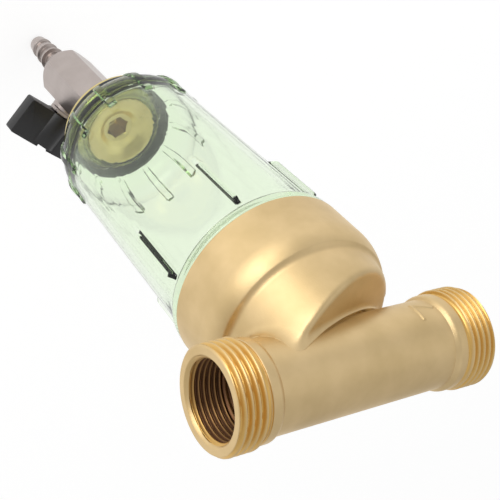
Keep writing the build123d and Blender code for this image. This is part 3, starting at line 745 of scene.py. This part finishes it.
# The outer wall's radius is its plain taper plus the ribs, and the corner's points move outwards, square to
# its outline, wherever a lug stands. Inside, a funnel leads from the wall down to the drain nut's well.
def bowlRows(look):
    angle = bowlAngles()
    ribShare, lugShare = ribMask(angle, rib), ribMask(angle, lug)
    top, start, wall = look["top"], -look["start"], look["wall"]

    def plain(z):
        return top + (look["low"] - top) * (start - z) / (look["cornerStart"] - look["start"])

    neckTop, threadTop = -look["neckTop"], -look["threadTop"]
    flangeTop, flangeEnd = -look["flangeTop"], -look["flangeEnd"]
    neck = bendCorners([(look["neckBore"], neckTop), (look["sealLand"], neckTop),
                        (look["sealLand"], threadTop + 0.5), (look["thread"], threadTop),
                        (look["thread"], flangeTop), (look["flange"], flangeTop), (look["flange"], flangeEnd),
                        (top + 0.3, start), (top, start - 0.8)],
                       [0, 0.4, 0.1, 0.1, 0.1, 0.8, 0.9, 0.5, 0], loop=False)
    rows = [ringOf(r, z, angle) for r, z in neck[1:]]
    for z in np.concatenate([np.linspace(*span) for span in look["wallSpans"]]):
        stand = np.clip((z + rib["end"] + 1.5) / rib["slope"], 0, 1)
        stand *= np.clip((-z - rib["top"]) / rib["rise"], 0, 1)
        reach = np.maximum(rib["reach"] - rib["draft"] * (-z - rib["top"]) - plain(z), 0)
        rows.append(ringOf(plain(z) + ribShare * reach * stand, z, angle))

    low = [(plain(z), z) for z in np.linspace(-look["wallEnd"], -look["cornerStart"], 7)]
    arc = arcThrough((look["low"], -look["cornerStart"]), look["cornerMiddle"], look["edge"], 20)[1:]
    line = evenSteps(np.concatenate([low, arc]), look["cornerRows"])
    way = np.gradient(line, axis=0)
    way /= np.linalg.norm(way, axis=1, keepdims=True)
    rise = np.clip((-line[:, 1] - lug["top"]) / lug["rise"], 0, 1)
    rise *= np.clip((line[:, 0] - look["edge"][0]) / lug["fade"], 0, 1)
    for (r, z), (dr, dz), stand in zip(line, way, rise * lug["height"]):
        rows.append(ringOf(r - lugShare * stand * dz, z + lugShare * stand * dr, angle))

    side = plain(-look["funnelTop"]) - wall
    base = bendCorners([look["edge"], (look["spigot"], look["edge"][1]), (look["spigot"], -look["bottom"]),
                        (look["drainBore"], -look["bottom"]), (look["drainBore"], -look["wellFloor"]),
                        (look["well"], -look["wellFloor"]), (look["well"], -look["floor"]),
                        (side, -look["funnelTop"]), (plain(-look["wallEnd"]) - wall, -look["wallEnd"])],
                       [0, 0.5, 0.4, 0.2, 0.2, 0.3, 0.4, look["funnelBend"], 0], steps=12, loop=False)
    rows += [ringOf(r, z, angle) for r, z in base[1:-1]]
    inner = np.linspace(-look["wallEnd"], -look["innerTop"], look["innerRows"])
    rows += [ringOf(plain(z) - wall, z, angle) for z in inner]
    stepLow, stepMiddle, stepHigh = (-depth for depth in look["neckStep"])
    step = bendCorners([(top - wall, stepLow), (top - wall - 0.05, stepMiddle), (look["neckBore"], stepHigh),
                        (look["neckBore"], neckTop - 1.0)], [0, 0.8, 0.8, 0], loop=False)
    rows += [ringOf(r, z, angle) for r, z in step]
    return np.stack(rows)


bowlGrid = bowlRows(bowl)
print("bowl worked out:", bowlGrid.shape)
makePiece("clearBowl", [(bowlGrid, True, unworked)], clearGreen, "bowl_turn", "bowl",
          sharp=55)


# drain fittings under the bowl

drain = dict(seat=151.3, top=149.2, radius=14.2, land=0.9, crown=153.0, crownRadius=6.1,
             dish=((10.6, -149.95), (8.2, -151.05), (6.9, -152.3)), socketFlats=8.0, socketDepth=9.0,
             hardness=70.0, bore=3.6, boreDepth=12.0, shank=8.0, shankEnd=173.0, columns=180)
gasket = dict(inner=21.9, outer=23.3, top=151.86, low=154.2, columns=180)
flange = dict(bore=8.05, hub=11.4, hubEnd=163.0, low=157.8, underside=20.6, step=156.5, radius=22.3,
              top=154.24, recess=17.7, recessFloor=155.25, columns=180)
stemTurn = 56.5


# Radius of a hexagon with slightly soft corners: apothem over the p-norm of the six directions' cosines.
def hexRadius(angle, apothem, phase, hardness):
    ways = np.radians(phase) + fullTurn(6)
    c = np.maximum(np.cos(angle[:, None] - ways[None]), 0)
    return apothem / (c ** hardness).sum(1) ** (1 / hardness)


# The nut is turned from an outline that is dished towards its middle, so that sediment slides down, and its
# socket's rows go from the round crown to the hexagon.
def drainNutRows(look):
    angle = fullTurn(look["columns"])
    top, crown, seat, end = -look["top"], -look["crown"], -look["seat"], -look["shankEnd"]
    radius, inner, floor = look["radius"], look["crownRadius"] - 0.7, -look["crown"] - look["socketDepth"]
    outline = bendCorners([(0, end), (look["shank"], end), (look["shank"], seat), (radius, seat),
                           (radius, top), (radius - look["land"], top), *look["dish"],
                           (look["crownRadius"], crown), (inner, crown)],
                          [0, 0.6, 0.1, 0.15, 0.35, 0.3, 0.8, 0.8, 0.5, 0.2, 0], loop=False)
    rows = [ringOf(r, z, angle) for r, z in outline]
    hexagon = hexRadius(angle, look["socketFlats"] / 2, stemTurn, look["hardness"])
    socket = ((0.35, crown), (0.8, crown - 0.04), (1.0, crown - 0.25), (1.0, crown - 0.6), (1.0, floor),
              (0.97, floor))
    rows += [ringOf((1 - share) * (inner - 0.1) + share * hexagon, z, angle) for share, z in socket]
    boreEnd = crown - look["boreDepth"]
    bore = ((look["bore"], floor - 0.2), (look["bore"], boreEnd), (0.0, boreEnd))
    rows += [ringOf(r, z, angle) for r, z in bore]
    return np.stack(rows)


# A flat ring round the Z axis: a rectangle of radius and height, softer at its outer edge.
def gasketRows(look):
    inner, outer, top, low = look["inner"], look["outer"], -look["top"], -look["low"]
    outline = bendCorners([(inner, low), (outer, low), (outer, top), (inner, top)], [0.2, 0.5, 0.5, 0.2],
                          steps=8)
    return spin(outline, look["columns"])


# Hub, plate and the recess for the bowl's spigot, as one outline that goes round the Z axis.
def flangeRows(look):
    top, floor, step, low, end = (-look[key] for key in ("top", "recessFloor", "step", "low", "hubEnd"))
    bore, hub, under, radius, recess = (look[key] for key in ("bore", "hub", "underside", "radius", "recess"))
    outline = bendCorners([(bore, end), (hub, end), (hub, low), (under, low), (under, step), (radius, step),
                           (radius, top), (recess, top), (recess, floor), (bore, floor)],
                          [0.1, 0.5, 0.3, 0.4, 0.2, 0.35, 0.45, 0.1, 0.1, 0.1])
    return spin(outline, look["columns"])


# The drain nut takes the brighter, painted-light copy of turned brass.
makePiece("drainNut", [(drainNutRows(drain), False, unworked)], litNutBrass, "bowl_turn",
          "inner_drain_nut", sharp=40)
makePiece("outerGasket", [(gasketRows(gasket), True, unworked)], blackRubber, "bowl_turn",
          "outer_gasket", sharp=40)
makePiece("flangeRing", [(flangeRows(flange), True, unworked)], turnedBrass, "bowl_turn",
          "outer_flange_ring", sharp=40)


# drain valve

valve = dict(flats=20.0, top=164.0, end=208.0, chamfer=4.2, faceRadius=9.3, ball=190.5, hardness=260.0,
             cornerSteps=(0.2, 0.5, 0.9, 1.6, 3.0, 6.0, 12.0, 18.0, 24.0, 28.0))
bonnet = dict(radius=5.6, start=6.0, reach=12.0, columns=72)
gland = dict(apothem=4.9, hardness=60.0, bore=3.05, start=12.0, top=13.8, cone=(5.25, 4.8), columns=120)
stemWay = (np.cos(np.radians(stemTurn)), np.sin(np.radians(stemTurn)), 0.0)
leverWay = (stemWay[1], -stemWay[0], 0.0)
upWay = tuple(np.cross(stemWay, leverWay))


def onStem(rows):
    return onAxis(rows, (0, 0, -valve["ball"]), leverWay, upWay, stemWay)


# Hexagonal bar: the rows follow the curved edges where the end chamfers' cones cut the flats, so each edge is
# crisp.
def valveRows(look):
    near = np.array(look["cornerSteps"])
    near = np.concatenate([-near[::-1], [0.0], near])
    corners = stemTurn + 30 + 60 * np.arange(6)
    angle = np.radians((corners[:, None] + near).reshape(-1))
    hexagon = hexRadius(angle, look["flats"] / 2, stemTurn, look["hardness"])
    corner = look["flats"] / 2 / np.cos(np.pi / 6)
    face, top, end, soft, gap = look["faceRadius"], -look["top"], -look["end"], 0.1, 0.02
    lowEdge = end + (hexagon - face) * look["chamfer"] / (corner - face)
    topFace = np.minimum(hexagon, face + 1.0)
    highEdge = top - (hexagon - topFace)
    line = [(0.0, end), (face - 3 * soft, end), (face - soft, end)]
    line += [(face + t * (hexagon - face), end + t * (lowEdge - end)) for t in (0.05, 0.35, 0.65, 0.94)]
    line += [(hexagon - gap, lowEdge), (hexagon, lowEdge + soft)]
    length = highEdge - lowEdge - 2 * soft
    line += [(hexagon, lowEdge + soft + t * length) for t in (0.03, 0.3, 0.6, 0.97, 1.0)]
    line += [(hexagon - gap, highEdge), (topFace - gap, np.minimum(highEdge + hexagon - topFace, top - gap)),
             (topFace - soft, top), (0.0, top)]
    return np.stack([ringOf(r, z, angle) for r, z in line])


# A round plug on the stem's axis, its heights counted from the middle of the ball.
def bonnetRows(look):
    radius, start, reach = look["radius"], look["start"], look["reach"]
    outline = bendCorners([(0, start), (radius, start), (radius, reach), (0, reach)], [0, 0.1, 0.5, 0],
                          loop=False)
    return onStem(spin(outline, look["columns"]))


# Hexagon on the stem's axis, its corners cut back at the outer end to the two radii of a cone.
def glandRows(look):
    angle = fullTurn(look["columns"])
    bore, start, top = look["bore"], look["start"], look["top"]
    flats = hexRadius(angle, look["apothem"], 0.0, look["hardness"])
    wide, narrow = look["cone"]
    line = [(bore, start), (flats - 0.1, start), (flats, start + 0.12), (flats, top - 0.6),
            (np.minimum(flats, wide), top - 0.35), (np.minimum(flats, narrow), top), (bore, top)]
    return onStem(np.stack([ringOf(r, h, angle) for r, h in line]))


makePiece("valveBody", [(valveRows(valve), False, unworked), (bonnetRows(bonnet), False, unworked)], nickel,
          "bowl_turn", "valve_body", sharp=40)
makePiece("glandNut", [(glandRows(gland), True, unworked)], nickel, "bowl_turn", "gland_nut",
          sharp=30)

tail = dict(bore=2.6, spigot=7.4, spigotTop=200.0, start=208.0, collar=6.2, collarLength=3.0, root=3.8,
            barbs=((5.4, 219.2), (5.0, 224.9), (4.6, 230.6)), barbEdge=0.5, barbLength=4.7, end=236.6,
            columns=120)


# Barbs that widen towards the valve, each with a short land, and a rounded tip.
def tailRows(look):
    bore, root, start, end = look["bore"], look["root"], -look["start"], -look["end"]
    collarEnd = start - look["collarLength"]
    points = [(bore, -look["spigotTop"]), (look["spigot"], -look["spigotTop"]), (look["spigot"], start),
              (look["collar"], start), (look["collar"], collarEnd), (root, collarEnd)]
    bends = [0.1, 0.1, 0.1, 0.1, 0.5, 0.3]
    for i, (radius, height) in enumerate(look["barbs"]):
        points += [(root, look["barbEdge"] - height), (radius, -height), (radius, -height - look["barbEdge"]),
                   (root + 0.1 * (2 - i), -height - look["barbLength"])]
        bends += [0.15, 0.12, 0.2, 0.3]
    points += [(root, end + 1.0), (root - 0.8, end), (bore, end)]
    bends += [0.3, 0.3, 0.2]
    return spin(bendCorners(points, bends), look["columns"])


makePiece("hoseTail", [(tailRows(tail), True, unworked)], nickel, "bowl_turn", "hose_tail",
          sharp=35)


# lever handle

lever = dict(width=0.35, segments=3, flat=0.5, sharp=35)


# A copy of a solid with its loose triangles merged and its sharp edges rounded by a bevel.
def roundedCopy(node, name, look, material, body):
    mesh = nodes[node].data.copy()
    work = bmesh.new()
    work.from_mesh(mesh)
    bmesh.ops.remove_doubles(work, verts=work.verts, dist=mergeDistance)
    bmesh.ops.dissolve_limit(work, angle_limit=np.radians(look["flat"]), verts=work.verts, edges=work.edges)
    work.to_mesh(mesh)
    work.free()
    mesh.polygons.foreach_set("use_smooth", np.ones(len(mesh.polygons), bool))
    mesh.materials.clear()
    mesh.materials.append(material)
    piece = bpy.data.objects.new(name, mesh)
    bpy.context.scene.collection.objects.link(piece)
    bevel = piece.modifiers.new("edges", "BEVEL")
    bevel.width, bevel.segments = look["width"] * mm, look["segments"]
    bevel.limit_method, bevel.angle_limit = "ANGLE", np.radians(look["sharp"])
    bevel.harden_normals = True
    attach(piece, body)
    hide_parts(node)


roundedCopy("valve_handle", "leverHandle", lever, blackPlastic, "valve_plug")


# materials for the pieces that keep their own solids

keptNodes = dict(bowl_seal=blackRubber, screen_top_ring=whitePlastic, screen_seal=blackRubber,
                 screen_cage=steelMesh, screen_mesh=steelMesh, screen_end_cap=whitePlastic,
                 inner_gasket=blackRubber, valve_washer=blackRubber, upper_ball_seat=whitePlastic,
                 lower_ball_seat=whitePlastic, valve_ball=zinc, valve_stem=turnedBrass,
                 stem_seals=blackRubber, handle_washer=zinc, handle_screw=zinc)
for name, material in keptNodes.items():
    nodes[name].data.materials.clear()
    nodes[name].data.materials.append(material)
print("materials set on", len(keptNodes), "kept nodes")

bpy.context.view_layer.update()
